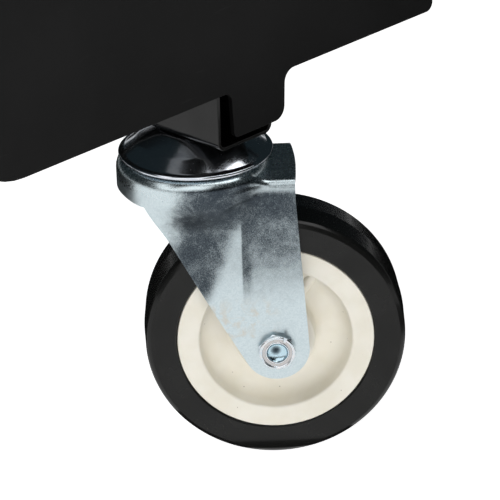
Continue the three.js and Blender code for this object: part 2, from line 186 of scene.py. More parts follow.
def merge(mesh, *others):
    """Adds other bmeshes to a bmesh as loose shells."""
    for other in others:
        data = bpy.data.meshes.new("part")
        other.to_mesh(data)
        other.free()
        mesh.from_mesh(data)
        bpy.data.meshes.remove(data)
    return mesh


def prism(outline, low, high, axes="XYZ"):
    """A closed outline extruded from low to high; axes names where outline x, outline y and depth go."""
    mesh = bmesh.new()
    order = ["XYZ".index(a) for a in axes]

    def corner(point, depth):
        place = [0.0, 0.0, 0.0]
        for axis, value in zip(order, (point[0], point[1], depth)):
            place[axis] = value
        return mesh.verts.new(place)

    bottom = [corner(p, low) for p in outline]
    top = [corner(p, high) for p in outline]
    mesh.faces.new(bottom)
    mesh.faces.new(list(reversed(top)))
    skin(mesh, [bottom, top])
    return mesh


def apply_modifiers(piece):
    """Bakes the modifiers of a piece into its mesh."""
    graph = bpy.context.evaluated_depsgraph_get()
    data = bpy.data.meshes.new_from_object(piece.evaluated_get(graph), depsgraph=graph)
    old = piece.data
    piece.modifiers.clear()
    piece.data = data
    bpy.data.meshes.remove(old)


def bevel(piece, width, segments=3, angle=30):
    """Rounds the edges sharper than an angle; the width is in millimetres."""
    made = piece.modifiers.new("edges", "BEVEL")
    made.width = width * MM
    made.segments = segments
    made.limit_method = "ANGLE"
    made.angle_limit = angle * RAD
    made.harden_normals = True


def carve(piece, cutter_mesh, place):
    """Cuts a bmesh out of a piece."""
    bmesh.ops.transform(cutter_mesh, matrix=place, verts=cutter_mesh.verts)
    bmesh.ops.recalc_face_normals(cutter_mesh, faces=cutter_mesh.faces)
    data = bpy.data.meshes.new("cutter")
    cutter_mesh.to_mesh(data)
    cutter_mesh.free()
    cutter = bpy.data.objects.new("cutter", data)
    bpy.context.scene.collection.objects.link(cutter)
    cut = piece.modifiers.new("cut", "BOOLEAN")
    cut.operation = "DIFFERENCE"
    cut.solver = "EXACT"
    cut.object = cutter
    apply_modifiers(piece)
    bpy.data.objects.remove(cutter)


# ---- shader maths --------------------------------------------------------------------------------
class Signal:
    """A socket of a material, with arithmetic that adds Math nodes."""

    def __init__(self, finish, socket):
        self.finish = finish
        self.socket = socket

    def math(self, operation, *values):
        """A Math node fed by the values."""
        return self.finish.node("ShaderNodeMath", {"operation": operation}, dict(enumerate(values)))

    def __add__(self, other):
        return self.math("ADD", self, other)

    def __radd__(self, other):
        return self.math("ADD", other, self)

    def __sub__(self, other):
        return self.math("SUBTRACT", self, other)

    def __rsub__(self, other):
        return self.math("SUBTRACT", other, self)

    def __mul__(self, other):
        return self.math("MULTIPLY", self, other)

    def __abs__(self):
        return self.math("ABSOLUTE", self)

    def ramp(self, low, high, start=0.0, end=1.0):
        """Runs smoothly from start at low to end at high."""
        return self.finish.node(
            "ShaderNodeMapRange",
            {"interpolation_type": "SMOOTHSTEP"},
            {"Value": self, "From Min": low, "From Max": high, "To Min": start, "To Max": end},
        )


class Finish:
    """One material under construction."""

    def __init__(self, name, **constants):
        self.material = bpy.data.materials.new(name)
        self.material.use_nodes = True
        self.tree = self.material.node_tree
        self.shader = next(n for n in self.tree.nodes if n.type == "BSDF_PRINCIPLED")
        self.set(**constants)
        self.place = self.node("ShaderNodeTexCoord", output="Object")

    def set(self, **values):
        """Sets or links the shader's own sockets, named in lower case with underscores."""
        for name, value in values.items():
            self.feed(self.shader.inputs[name.replace("_", " ").title().replace("Ior", "IOR")], value)
        return self

    def feed(self, socket, value):
        """Links a signal to a socket, or sets the socket's own value."""
        if isinstance(value, Signal):
            self.tree.links.new(value.socket, socket)
        elif isinstance(value, (tuple, list)) and socket.type == "RGBA":
            socket.default_value = (*value, 1.0)[:4]
        else:
            socket.default_value = value

    def node(self, kind, settings=None, inputs=None, output=0):
        """Adds a node with its settings and inputs, and gives one of its outputs."""
        made = self.tree.nodes.new(kind)
        for name, value in (settings or {}).items():
            setattr(made, name, value)
        for key, value in (inputs or {}).items():
            self.feed(made.inputs[key], value)
        return Signal(self, made.outputs[output])

    def mix(self, share, first, second):
        """From the first colour to the second."""
        return self.node("ShaderNodeMix", {"data_type": "RGBA"}, {0: share, 6: first, 7: second}, 2)

    def along(self, direction):
        """Distance along a direction from the row's origin, in millimetres."""
        return self.node(
            "ShaderNodeVectorMath",
            {"operation": "DOT_PRODUCT"},
            {0: self.place, 1: tuple(Vector(direction) / MM)},
            "Value",
        )

    def noise(self, size, detail=3.0, roughness=0.5, distortion=0.0, stretch=None):
        """Noise whose grains are about size millimetres across."""
        where = self.place
        if stretch:
            where = self.node("ShaderNodeVectorMath", {"operation": "MULTIPLY"}, {0: where, 1: stretch})
        return self.node(
            "ShaderNodeTexNoise",
            {},
            {
                "Vector": where,
                "Scale": 1 / (size * MM),
                "Detail": detail,
                "Roughness": roughness,
                "Distortion": distortion,
            },
        )

    def cells(self, size, output="Distance"):
        """Cells about size millimetres across: distance to the nearest centre, or a colour each."""
        return self.node("ShaderNodeTexVoronoi", {}, {"Vector": self.place, "Scale": 1 / (size * MM)}, output)

    def bump(self, height, distance, strength=1.0):
        """Links a height, in distances of millimetres, to the shader's normal."""
        normal = self.node(
            "ShaderNodeBump", {}, {"Height": height, "Distance": distance * MM, "Strength": strength}
        )
        return self.set(normal=normal)


# ---- finishes ------------------------------------------------------------------------------------
def powder_coat():
    """Satin black powder coat: fine orange peel and faint paler scuffs along its length."""
    f = Finish("black_powder_coat", specular_ior_level=0.16)
    peel = f.noise(1.4, 2, 0.5)
    cloud = f.noise(45, 3, 0.5)
    scuff = f.noise(2.2, 5, 0.62, stretch=(0.12, 1, 1)).ramp(0.62, 0.8)
    base = f.mix(cloud.ramp(0.3, 0.7), (0.002, 0.002, 0.002), (0.0045, 0.0045, 0.0045))
    f.set(
        base_color=f.mix(scuff * 0.3, base, (0.035, 0.035, 0.035)),
        roughness=0.36 + cloud * 0.08 + scuff * 0.1,
    )
    return f.bump(peel, 0.02, 0.5).material


def gloss_paint():
    """Glossy black enamel on the tube."""
    f = Finish("black_enamel", specular_ior_level=0.2, coat_roughness=0.05)
    peel = f.noise(3.5, 2, 0.45)
    dust = f.noise(0.7, 4, 0.6).ramp(0.66, 0.8)
    f.set(
        base_color=f.mix(dust * 0.25, (0.004, 0.004, 0.0038), (0.03, 0.03, 0.027)),
        roughness=0.13 + dust * 0.2 + f.noise(22, 2) * 0.06,
        coat_weight=f.noise(30, 2).ramp(0.2, 0.8, 0.05, 0.2),
    )
    return f.bump(peel, 0.03, 0.35).material


def bright_zinc():
    """Mirror-bright zinc of the race cap, with a few tarnish specks."""
    f = Finish("bright_zinc", metallic=1.0)
    grain = f.noise(0.35, 4, 0.6)
    haze = f.noise(6, 4, 0.6)
    speck = f.noise(1.1, 3, 0.6).ramp(0.66, 0.76)
    base = f.mix(haze.ramp(0.35, 0.7), (0.72, 0.745, 0.79), (0.60, 0.635, 0.70))
    f.set(
        base_color=f.mix(speck * 0.5, base, (0.36, 0.33, 0.31)),
        roughness=0.1 + haze.ramp(0.4, 0.8) * 0.1 + grain * 0.05 + speck * 0.15,
    )
    return f.bump(grain + haze, 0.03, 0.25).material


def fork_zinc():
    """Zinc on pressed steel: pale blue-grey, with painted dark reflections, grainy and patchy, on the upper
    legs and crown.
    """
    f = Finish("zinc_with_painted_reflections", metallic=1.0)
    grain = f.noise(0.34, 5, 0.75)
    sparkle = f.node("ShaderNodeSeparateColor", {}, {0: f.cells(0.55, output="Color")}, "Red")
    cloud = f.noise(9, 5, 0.65, 0.5)
    patch = f.noise(3.4, 4, 0.65, 0.3)
    up = f.along((0, 0, 1)) - FLOOR / MM
    back = f.along(TRAIL_WAY)
    inward = abs(f.along(ACROSS))  # from the middle
    # how dark the painted reflection is in each place: painted dark reflections of the shaded floor and
    # surroundings on the upper legs and crown
    front_side = (1 - (back - up * 0.358).ramp(-26, -19)) * up.ramp(62, 76) * 0.86
    crown_side = up.ramp(98, 106) * (1 - back.ramp(28, 38) * 0.45)
    beside_ridge = back.ramp(15.4, 16.2) * (1 - back.ramp(17.8, 20.5)) * up.ramp(66, 84) * 0.7
    rear_side = back.ramp(17, 20) * up.ramp(66, 98) * 0.7
    all_over = up.ramp(64, 92) * 0.34
    painted_dark_reflection = 1 - (1 - front_side) * (1 - crown_side) * (1 - beside_ridge) * (1 - rear_side) * (1 - all_over)
    shoulder = up.ramp(112, 115) * back.ramp(17, 22)
    behind_flank = (back + cloud * 10 - up * 0.15).ramp(-28, -13)
    bright_edges = (1 - up.ramp(119.4, 121)) * (1 - shoulder * 0.62)
    outside = inward.ramp(14.5, 16.5) * behind_flank * bright_edges
    # painted dark reflection, kept off the crown's top, the saddle's shoulder, the flank's front and the
    # middle, and broken up by cloud and patch noise
    dark = painted_dark_reflection * outside * cloud.ramp(0.3, 0.6, 0.78, 1.0) * patch.ramp(0.3, 0.7, 0.9, 1.05)
    speckled = dark * grain.ramp(0.3, 0.68, 0.72, 1.25) + (cloud.ramp(0.55, 0.75) + grain - 0.5) * 0.12
    pale = f.mix(sparkle, (0.56, 0.65, 0.68), (0.65, 0.73, 0.755))
    # mixes the pale zinc towards the colour of the painted dark reflection
    tone = f.mix(speckled.ramp(0.0, 1.0), pale, (0.042, 0.053, 0.065))
    smudge = f.noise(5, 4, 0.6, 0.6).ramp(0.45, 0.68) * (1 - up.ramp(64, 74)) * up.ramp(53, 58)
    f.set(
        base_color=f.mix(smudge * 0.85 * (1 - back.ramp(24, 31)), tone, (0.60, 0.57, 0.50)),
        roughness=0.24 + grain * 0.14 + sparkle * 0.06 - up.ramp(112, 118) * 0.08,
    )
    return f.bump(grain + patch * 0.8, 0.05, 0.35).material


def cut_edge():
    """Sheared edges of the pressed steel: brighter, with shear lines."""
    f = Finish("sheared_edge", metallic=1.0)
    shear = f.noise(0.3, 3, 0.6)
    f.set(
        base_color=f.mix(shear, (0.74, 0.79, 0.82), (0.52, 0.57, 0.6)),
        roughness=0.26 + shear * 0.2,
    )
    return f.bump(shear, 0.05, 0.4).material


def blue_zinc():
    """Blue-passivated fasteners; the bolt's cupped end is bluer, with painted shade in the middle of the cup.
    """
    f = Finish("blue_zinc_plate", metallic=1.0)
    grain = f.noise(0.5, 4, 0.6)
    tint = f.noise(2.6, 2, 0.5)
    along = f.along(TRAIL_WAY) - TRAIL
    up = f.along((0, 0, 1)) - FLOOR / MM - WHEEL_RADIUS
    spread = along * along + up * up
    in_cup = 1 - spread.ramp(13.5, 16)
    # a ring round the bolt's end, on the collar's face, is painted a darker pinkish grey
    collar_ring_tone = spread.ramp(19, 22) * (1 - spread.ramp(30, 34)) * 0.8
    # painted shade in the middle of the bolt's cup, a little off centre, on the near end only
    along, up = along + 0.5, up - 0.7
    near_end = 1 - (f.along(ACROSS) + 20).ramp(0, 1)
    cup_painted_shade = (1 - (along * along + up * up + grain * 3).ramp(0.8, 7.5)) * near_end
    base = f.mix(tint.ramp(0.3, 0.7), (0.62, 0.70, 0.75), (0.78, 0.785, 0.80))
    base = f.mix(in_cup, f.mix(collar_ring_tone, base, (0.50, 0.47, 0.46)), (0.52, 0.68, 0.76))
    f.set(
        base_color=f.mix(cup_painted_shade, base, (0.02, 0.03, 0.04)),
        roughness=0.14 + grain * 0.14 + cup_painted_shade * 0.2,
    )
    return f.bump(grain, 0.03, 0.3).material


def ground_steel():
    """Hardened and ground steel of balls, rings and sleeve."""
    f = Finish("ground_steel", metallic=1.0)
    line = f.noise(0.25, 3, 0.6)
    film = f.noise(4, 3, 0.6)
    f.set(
        base_color=f.mix(film.ramp(0.4, 0.7), (0.62, 0.62, 0.62), (0.45, 0.43, 0.39)),
        roughness=0.12 + line * 0.1 + film * 0.06,
    )
    return f.bump(line, 0.01, 0.2).material


def tyre_urethane():
    """Moulded black urethane: glossy, with faint mould haze and dust."""
    f = Finish("black_urethane", specular_ior_level=0.2, coat_roughness=0.08)
    haze = f.noise(16, 3, 0.5)
    fleck = f.noise(0.8, 4, 0.65).ramp(0.66, 0.8)
    ripple = f.noise(2.4, 2, 0.5)
    f.set(
        base_color=f.mix(fleck * 0.25, (0.0075, 0.0075, 0.007), (0.03, 0.03, 0.028)),
        roughness=0.2 + haze * 0.1 + fleck * 0.12,
        coat_weight=haze.ramp(0.3, 0.7, 0.05, 0.15),
    )
    return f.bump(ripple, 0.03, 0.3).material


def cream_plastic():
    """Cream moulded wheel core, with flow haze and a few dark specks."""
    f = Finish("cream_polypropylene", specular_ior_level=0.42, subsurface_weight=0.06)
    f.set(subsurface_radius=(0.004, 0.003, 0.002))
    haze = f.noise(9, 3, 0.5)
    texture = f.noise(0.5, 3, 0.55)
    spot = f.cells(4.6)
    speck = 1 - spot.ramp(0.035, 0.06)
    base = f.mix(haze.ramp(0.3, 0.7), (0.80, 0.76, 0.655), (0.845, 0.81, 0.72))
    f.set(
        base_color=f.mix(speck * 0.7, base, (0.22, 0.18, 0.13)),
        roughness=0.4 + haze * 0.1 + texture * 0.06,
    )
    return f.bump(texture, 0.03, 0.3).material


def black_plastic():
    """Moulded polyethylene of the plug, rubbed paler in places."""
    f = Finish("black_polyethylene", specular_ior_level=0.4)
    texture = f.noise(0.6, 3, 0.6)
    rub = f.noise(7, 4, 0.6).ramp(0.55, 0.75)
    f.set(
        base_color=f.mix(rub * 0.4, (0.016, 0.016, 0.016), (0.04, 0.04, 0.04)),
        roughness=0.45 + texture * 0.15,
    )
    return f.bump(texture, 0.04, 0.4).material


POWDER_COAT = powder_coat()
ENAMEL = gloss_paint()
BRIGHT_ZINC = bright_zinc()
FORK_ZINC = fork_zinc()
CUT_EDGE = cut_edge()
BLUE_ZINC = blue_zinc()
STEEL = ground_steel()
URETHANE = tyre_urethane()
CREAM = cream_plastic()
BLACK_PLASTIC = black_plastic()


# ---- end plate and cross tube --------------------------------------------------------------------
def build_end_plate():
    """Two-millimetre sheet with a rounded lower corner, a tab over the tube's end and a top flange."""
    low, high = PLATE_BOX[0] / MM, PLATE_BOX[1] / MM
    sheet, bend, big_corner = 2.0, 3.0, 28
    tab_left, tab_right, tab_drop = -8.4, 18.8, 18.4
    hole_radius, hole_inset, hole_places = 3.3, 16, (-112, -46, 20, 80)
    bottom = low.z + tab_drop
    outline = rounded(
        [
            (low.x, high.z - bend),
            (low.x, bottom, big_corner),
            (tab_left - 0.4, bottom, 4),
            (tab_left + 0.6, low.z, 2.4),
            (tab_right - 0.4, low.z, 5),
            (tab_right + 0.3, bottom, 5),
            (high.x, bottom, 3.5),
            (high.x, high.z - bend),
        ],
        steps=10,
    )
    mesh = bmesh.new()
    face = mesh.faces.new([mesh.verts.new((x, low.y, z)) for x, z in outline])
    top = [e for e in face.edges if all(abs(v.co.z - high.z + bend) < 1e-4 for v in e.verts)]
    steps = 6
    for k in range(1, steps + 1):
        angle = 90 * RAD * k / steps
        made = bmesh.ops.extrude_edge_only(mesh, edges=top)["geom"]
        for vertex in (g for g in made if isinstance(g, bmesh.types.BMVert)):
            vertex.co.y = low.y + bend * (1 - math.cos(angle))
            vertex.co.z = high.z - bend * (1 - math.sin(angle))
        top = [g for g in made if isinstance(g, bmesh.types.BMEdge) and g.is_boundary]
        top = [e for e in top if abs(e.verts[0].co.z - e.verts[1].co.z) < 1e-6]
    made = bmesh.ops.extrude_edge_only(mesh, edges=top)["geom"]
    for vertex in (g for g in made if isinstance(g, bmesh.types.BMVert)):
        vertex.co.y = high.y
    plate = finish_piece("end_plate_sheet", mesh, ROW, "frame", POWDER_COAT, ["end_plate"])
    thick = plate.modifiers.new("sheet", "SOLIDIFY")
    thick.thickness = sheet * MM
    thick.offset = -1 if plate.data.polygons[0].normal.y < 0 else 1
    thick.use_even_offset = True
    apply_modifiers(plate)
    turns = [2 * math.pi * k / 32 for k in range(32)]
    for x in hole_places:
        hole = prism([(hole_radius * math.cos(t), hole_radius * math.sin(t)) for t in turns],
                     high.z - 5, high.z + 4)
        carve(plate, hole, ROW @ Matrix.Translation((x, low.y + hole_inset, 0)))
    bevel(plate, 0.45)


def tube_section(inset, radius):
    """The tube's section, as points of x and z, some way inside its outside."""
    low, high = TUBE_BOX[0] / MM, TUBE_BOX[1] / MM
    return rounded(
        [
            (low.x + inset, low.z + inset, radius),
            (high.x - inset, low.z + inset, radius),
            (high.x - inset, high.z - inset, radius),
            (low.x + inset, high.z - inset, radius),
        ],
        steps=8,
        closed=True,
    )


def build_cross_tube():
    """Rectangular tube, open at the plate's end, with a slightly rounded saw-cut lip."""
    low, high = TUBE_BOX[0].y / MM, TUBE_BOX[1].y / MM
    wall, corner = 1.5, 3.5
    mesh = bmesh.new()
    outer = tube_section(0, corner)
    inner = tube_section(wall, corner - wall)
    ends = ((outer, low), (outer, high), (inner, high), (inner, low))
    skin(mesh, [[mesh.verts.new((x, depth, z)) for x, z in section] for section, depth in ends], joined=True)
    tube = finish_piece("tube_wall", mesh, ROW, "frame", ENAMEL, ["cross_tube"], 25)
    hole = turned([(0, -4), (5.4, -4), (5.4, 6), (0, 6)], 40, closed=False)
    carve(tube, hole, Matrix.Translation((0, 0, TUBE_BOX[0].z)) @ ROW)
    bevel(tube, 0.3, 3, 50)


def build_tube_plug():
    """Moulded end plug: domed cap with a rim, sleeve inside the tube."""
    low, high = PLUG_BOX[0] / MM, PLUG_BOX[1] / MM
    face = TUBE_BOX[1].y / MM + GAP
    mesh = bmesh.new()
    rows = (
        (0.0, face, 3.5), (0.0, high.y - 0.9, 3.5), (0.35, high.y - 0.3, 3.2), (1.1, high.y, 2.8),
        (4.0, high.y, 2.0), (4.6, high.y - 0.5, 1.8), (9.0, high.y - 0.5, 1.5),
    )
    rings = [[mesh.verts.new((x, depth, z)) for x, z in tube_section(inset, radius)]
             for inset, depth, radius in rows]
    skin(mesh, rings)
    mesh.faces.new(rings[-1])
    mesh.faces.new(list(reversed(rings[0])))
    merge(mesh, prism(tube_section(1.9, 1.7), low.y, face, "XZY"))
    finish_piece("tube_plug", mesh, ROW, "frame", BLACK_PLASTIC, ["tube_end_plug"])


def build_weld(name, node):
    """A stacked-ripple fillet weld in the upright space of its CAD bead."""
    low, high = (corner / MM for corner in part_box(node))
    size = high - low
    side, root_x = (1, low.x) if low.x > 0 else (-1, high.x)
    mesh = bmesh.new()
    rows, arc, ripple = 40, 10, 4
    rings = []
    for i in range(rows + 1):
        z = low.z + size.z * i / rows
        swell = 0.93 + 0.07 * abs(math.sin(math.pi * i / ripple))
        if i in (0, rows):
            swell *= 0.8
        ring = []
        for k in range(arc + 1):
            angle = 90 * RAD * k / arc
            reach = (0.72 + 0.28 * abs(math.cos(2 * angle))) * swell
            ring.append(mesh.verts.new((root_x + side * size.x * math.cos(angle) * reach,
                                        low.y + size.y * math.sin(angle) * reach, z)))
        ring.append(mesh.verts.new((root_x, low.y, z)))
        rings.append(ring)
    skin(mesh, rings)
    mesh.faces.new(rings[0])
    mesh.faces.new(list(reversed(rings[-1])))
    finish_piece(name, mesh, ROW, "frame", ENAMEL, [node], 50)


# ---- castor head ---------------------------------------------------------------------------------
SEAT = TUBE_BOX[0].z / MM - FLOOR / MM  # tube's underside above the floor


def build_race_cap():
    """Pressed cap: flat seat under the tube, domed shoulder, turned-out bright rim."""
    top = SEAT - GAP
    outside = rounded(
        [(5.4, top), (13.2, top, 5), (22, top - 4.6, 9), (27.2, top - 8.6, 3), (28.8, top - 8.9, 0.5),
         (29, top - 9.5, 0.3), (28.7, top - 10.2, 0.3), (27, top - 10.0, 2), (24.8, top - 8.2, 1.5),
         (22.5, top - 6.1, 3), (18.6, top - 5.7, 3), (13, top - 2, 4), (5.4, top - 2)],
        steps=7,
    )
    finish_piece("pressed_race_cap", turned(outside, 160), CASTOR, "frame", BRIGHT_ZINC,
                 ["race_cap"], 50)


def build_lower_cup():
    """Pressed cup that holds the lower balls up from below."""
    profile = rounded(
        [(6.9, 111.2), (11, 111.2, 1), (14, 110.8, 3), (16.8, 112.3, 1.5), (17.4, 113.5, 0.4),
         (18, 113.2, 0.3), (18, 112, 1), (16.4, 109.6, 1.5), (14, 108.9, 3), (6.9, 109.2)],
        steps=5,
    )
    finish_piece("pressed_lower_cup", turned(profile, 96), CASTOR, "frame", FORK_ZINC,
                 ["lower_race_cup"])


def build_kingpin():
    """Rivet head, pin and threaded stem."""
    pitch, crest, depth, threads, first = 1.5, 5.0, 0.75, 11, 133.0
    stem = []
    for height in (first + pitch * k for k in range(threads)):
        stem += [(crest, height), (crest, height + 0.2), (crest - depth, height + 0.75),
                 (crest - depth, height + 0.95)]
    profile = rounded([(0, 105.6), (6.6, 105.6, 2), (9.5, 107, 1), (9.5, 108.8, 0.2), (6.5, 108.8)], 5)
    profile += [(6.5, 131.2), (5, 131.2)] + stem + [(4.2, 150), (0, 150)]
    finish_piece("riveted_kingpin", turned(profile, 64, closed=False), CASTOR, "frame", BLUE_ZINC,
                 ["kingpin"])


def hex_body(across_flats, low, high, bore, chamfer_low=True):
    """A hexagon whose corners are turned to a 30 degree chamfer, with a bore."""
    mesh = bmesh.new()
    turns = [5 * RAD * k for k in range(72)]
    face = across_flats / 2 * 0.97

    def reach(turn):
        return across_flats / 2 / math.cos((turn + 30 * RAD) % (60 * RAD) - 30 * RAD)

    def ring(radii, level, drop=0):
        heights = [level + drop * max(0.0, r - face) * math.tan(30 * RAD) for r in radii]
        points = ((r * math.cos(t), r * math.sin(t), h) for r, t, h in zip(radii, turns, heights))
        return [mesh.verts.new(point) for point in points]

    bores, faces, flats = [bore] * len(turns), [face] * len(turns), [reach(t) for t in turns]
    skin(mesh, [ring(bores, low), ring(faces, low), ring(flats, low, 1 if chamfer_low else 0),
                ring(flats, high, -1), ring(faces, high), ring(bores, high)], joined=True)
    return mesh


def build_weld_nut():
    """Hexagon nut with a round flange, inside the tube."""
    floor = SEAT + 1.8
    mesh = hex_body(17, floor + 1, floor + 9, 5.35)
    flange = turned(rounded([(5.35, floor), (11, floor, 0.4), (11, floor + 1.6, 0.6), (8, floor + 1.9),
                             (5.35, floor + 1.9)], 4), 72)
    finish_piece("flanged_weld_nut", merge(mesh, flange), CASTOR, "frame", STEEL, ["weld_nut"])


def build_balls(prefix, body):
    """Each ball of a race, as a subdivided sphere."""
    for node in sorted(n for n in frame["nodes"] if n.startswith(prefix)):
        low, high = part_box(node)
        mesh = bmesh.new()
        bmesh.ops.create_icosphere(mesh, subdivisions=3, radius=(high.x - low.x) / 2 / MM)
        place = Matrix.Translation((low + high) / 2) @ ROW
        finish_piece("race_" + node, mesh, place, body, STEEL, [node])


# ---- fork ----------------------------------------------------------------------------------------
FORK_SHEET = 2.5
LEG_TOP = 18.9  # from the middle to a leg's outside, under the crown
LEG_FOOT = 22.9  # the same at the axle
SPREAD_LOW, SPREAD_HIGH = 58.0, 106.0  # heights between which the legs spread
SHOULDER = 18.6  # outside of the saddle from the middle
CROWN_RADIUS = 30.0
CROWN_TOP = 123.0
SADDLE = 117.7  # height of the flat behind the raceway
SADDLE_REAR = 36.2
EYE_RADIUS = 12.4
FRONT_LEAN, REAR_LEAN = 29.3 * RAD, 3.6 * RAD  # of a leg's edges, off vertical
SKIRT_LOW, SKIRT_FRONT = 110.6, 111.4  # heights of the skirt's lower edge
FLARE_LOW, FLARE_HIGH = 94.0, 115.5  # heights between which a leg widens to the crown
SKIRT_ROWS, LEG_ROWS = 10, 48  # rows of points down the skirt, and down a leg below it
LIP_ROWS = 12  # rows of the crown up to the foot of the raceway's lip
LEG_FRONT = -20.2  # where the legs begin, along the trail from the swivel axis
RACEWAY = (  # radius and height from the pin hole to the top of the lip
    (7.5, 119.1), (12, 119.1), (16, 119.2), (17.4, 119.8), (18.8, 120.6),
    (20.5, 120.8), (22.0, 121.4), (23.0, 122.3), (23.8, 122.8), (24.4, CROWN_TOP),
)


def crown_outline(share):
    """Plan point and outward normal of the crown's edge, from the front to the saddle's corner."""
    swing = 135 * RAD
    arc = CROWN_RADIUS * swing
    end = Vector((-CROWN_RADIUS * math.cos(swing), -CROWN_RADIUS * math.sin(swing)))
    knee = Vector((27.0, -SHOULDER))
    rear = Vector((SADDLE_REAR, -SHOULDER))
    curve = (knee - end).length * 1.02
    line = (rear - knee).length
    run = share * (arc + curve + line)
    if run < arc:
        turn = run / CROWN_RADIUS
        out = Vector((-math.cos(turn), -math.sin(turn)))
        return out * CROWN_RADIUS, out
    if run < arc + curve:
        t = (run - arc) / curve
        corner = end + Vector((math.sin(swing), -math.cos(swing))) * ((end.y + SHOULDER) / math.cos(swing))
        point = end * (1 - t) ** 2 + corner * 2 * t * (1 - t) + knee * t * t
        way = ((corner - end) * (1 - t) + (knee - corner) * t).normalized()
        return point, Vector((way.y, -way.x))
    t = (run - arc - curve) / line
    return knee.lerp(rear, t), Vector((0, -1))


def pressing(x, z):
    """How far the press pushed the leg's outside in, at a place of the side view: ridge and crescent."""
    ridge = smooth(60, 88, z) * smooth(108, 98, z)
    crease = -0.45 * smooth(6, 15.4, x) + 1.1 * smooth(15.4, 18.4, x) - 0.25 * smooth(18.4, 29, x)
    crest = 112.6 - ((x - 17.0) / 9) ** 2 * 2.0
    bow = smooth(10, 5, abs(x - 17.0))
    crescent = -0.4 * smooth(2.0, 0, abs(z - crest)) + 0.35 * smooth(3.5, 0, abs(z - crest + 3.4))
    return ridge * crease + bow * crescent


def skirt_end(turn):
    """Height of the skirt's lower edge at an angle round from the front."""
    return blend(SKIRT_FRONT, SKIRT_LOW, smooth(20 * RAD, 48 * RAD, turn))


def deck_path(edge, out):
    """One section of the crown, from the pin hole over the raceway and its lip to the rounded edge."""
    rear = smooth(16, 27, edge.x)
    way = edge.normalized()
    fall = blend(CROWN_TOP, SADDLE, rear)  # level at the start of the edge
    turn = blend(4.7, 2.2, rear)  # rounding over the edge
    path = [(way * r, z) for r, z in RACEWAY]
    start = edge - out * turn
    foot = way * blend(25.0, 27.2, rear)
    path.append((way * blend(24.8, 26.9, rear), blend(CROWN_TOP, 120.2, rear)))
    path.append((foot, blend(fall, fall + 0.4, rear)))
    path.append((foot.lerp(start, 0.2), blend(fall, fall + 0.05, rear)))
    for k in range(1, 4):
        path.append((foot.lerp(start, 0.2 + 0.8 * k / 4), fall))
    for k in range(9):
        angle = 90 * RAD * k / 8
        path.append((edge - out * turn * (1 - math.sin(angle)), fall - turn * (1 - math.cos(angle))))
    return path


def leg_side(x, z):
    """Places across of a leg's outside at a point of its side view: down the leg, and under the crown."""
    leg = -blend(LEG_FOOT, LEG_TOP, smooth(SPREAD_LOW, SPREAD_HIGH, z))
    bulge = -math.sqrt(max(0.0, CROWN_RADIUS ** 2 - x * x)) if x < CROWN_RADIUS else 0.0
    return leg, blend(-LEG_TOP, bulge, smooth(31, 8, x))


def fork_surface():
    """The outer skin of the near half of the fork, as rows of points from the pin hole to the leg's end."""
    columns = 120
    leg_start = next(c for c in range(columns) if crown_outline(c / columns)[0].x > LEG_FRONT)
    front_turn, rear_turn = math.pi + FRONT_LEAN, 2 * math.pi + REAR_LEAN
    sections = []
    for c in range(columns + 1):
        edge, out = crown_outline(c / columns)
        path = deck_path(edge, out)
        top = path[-1][1]
        sections.append(path)
        if c < leg_start:
            low = skirt_end(math.atan2(-edge.y, -edge.x))
            path += [(edge, blend(top, low, k / SKIRT_ROWS)) for k in range(1, SKIRT_ROWS + 1)]
            continue
        angle = blend(front_turn, rear_turn, ((c - leg_start) / (columns - leg_start)) ** 0.85)
        end = Vector((TRAIL + EYE_RADIUS * math.cos(angle), WHEEL_RADIUS + EYE_RADIUS * math.sin(angle)))
        for k in range(1, SKIRT_ROWS + LEG_ROWS + 1):
            down = max(0.0, (k - SKIRT_ROWS) / LEG_ROWS)
            x = blend(edge.x, end.x, down)
            z = blend(SKIRT_LOW, end.y, down) if k > SKIRT_ROWS else blend(top, SKIRT_LOW, k / SKIRT_ROWS)
            leg, bulge = leg_side(x, z)
            flare = blend(min(edge.y, -LEG_TOP), bulge, smooth(117, 111, z))
            y = blend(leg, flare, smooth(FLARE_LOW, FLARE_HIGH, z))
            path.append((Vector((x, y + pressing(x, z))), z))
    return sections


def build_fork():
    """Pressed fork: race crown, skirt, saddle and two legs, from one sheet."""
    sections = fork_surface()
    fan, lip_edge, saddle_bow, axle_hole = 24, 27.6, 1.0, 4.4
    mesh = bmesh.new()
    for side in (1, -1):
        grid = [[mesh.verts.new((p.x, p.y * side, z)) for p, z in path] for path in sections]
        for left, right in zip(grid, grid[1:]):
            for r in range(min(len(left), len(right)) - 1):
                mesh.faces.new((left[r], left[r + 1], right[r + 1], right[r]))
        # saddle behind the corner, fanned to the middle of its rear edge
        corner = sections[-1]
        first = math.atan2(corner[LIP_ROWS + 3][0].y, corner[LIP_ROWS + 3][0].x)
        previous = grid[-1]
        for k in range(1, fan + 1):
            turn = first * (1 - k / fan)
            way = Vector((math.cos(turn), math.sin(turn)))
            rear_edge = way * ((SADDLE_REAR + saddle_bow * (1 - (1 - k / fan) ** 2)) / way.x)
            column = []
            for r, (p, z) in enumerate(corner[: LIP_ROWS + 4]):
                past_lip = (way * lip_edge).lerp(rear_edge, (r - LIP_ROWS + 1) / 4)
                place = way * p.length if r < LIP_ROWS else past_lip
                column.append(mesh.verts.new((place.x, place.y * side, z)))
            for r in range(len(column) - 1):
                mesh.faces.new((previous[r], previous[r + 1], column[r + 1], column[r]))
            previous = column
    bmesh.ops.remove_doubles(mesh, verts=mesh.verts, dist=0.01)
    fork = finish_piece("pressed_fork", mesh, CASTOR, "swivel", [FORK_ZINC, CUT_EDGE], ["fork"], 50)
    thick = fork.modifiers.new("sheet", "SOLIDIFY")
    thick.thickness = FORK_SHEET * MM
    thick.offset = -1
    thick.use_rim = True
    thick.material_offset_rim = 1
    apply_modifiers(fork)
    pin = [(0, -30), (axle_hole, -30), (axle_hole, 30), (0, 30)]
    carve(fork, turned(pin, 48, closed=False), HUB)
    bevel(fork, 0.35, 2, 55)


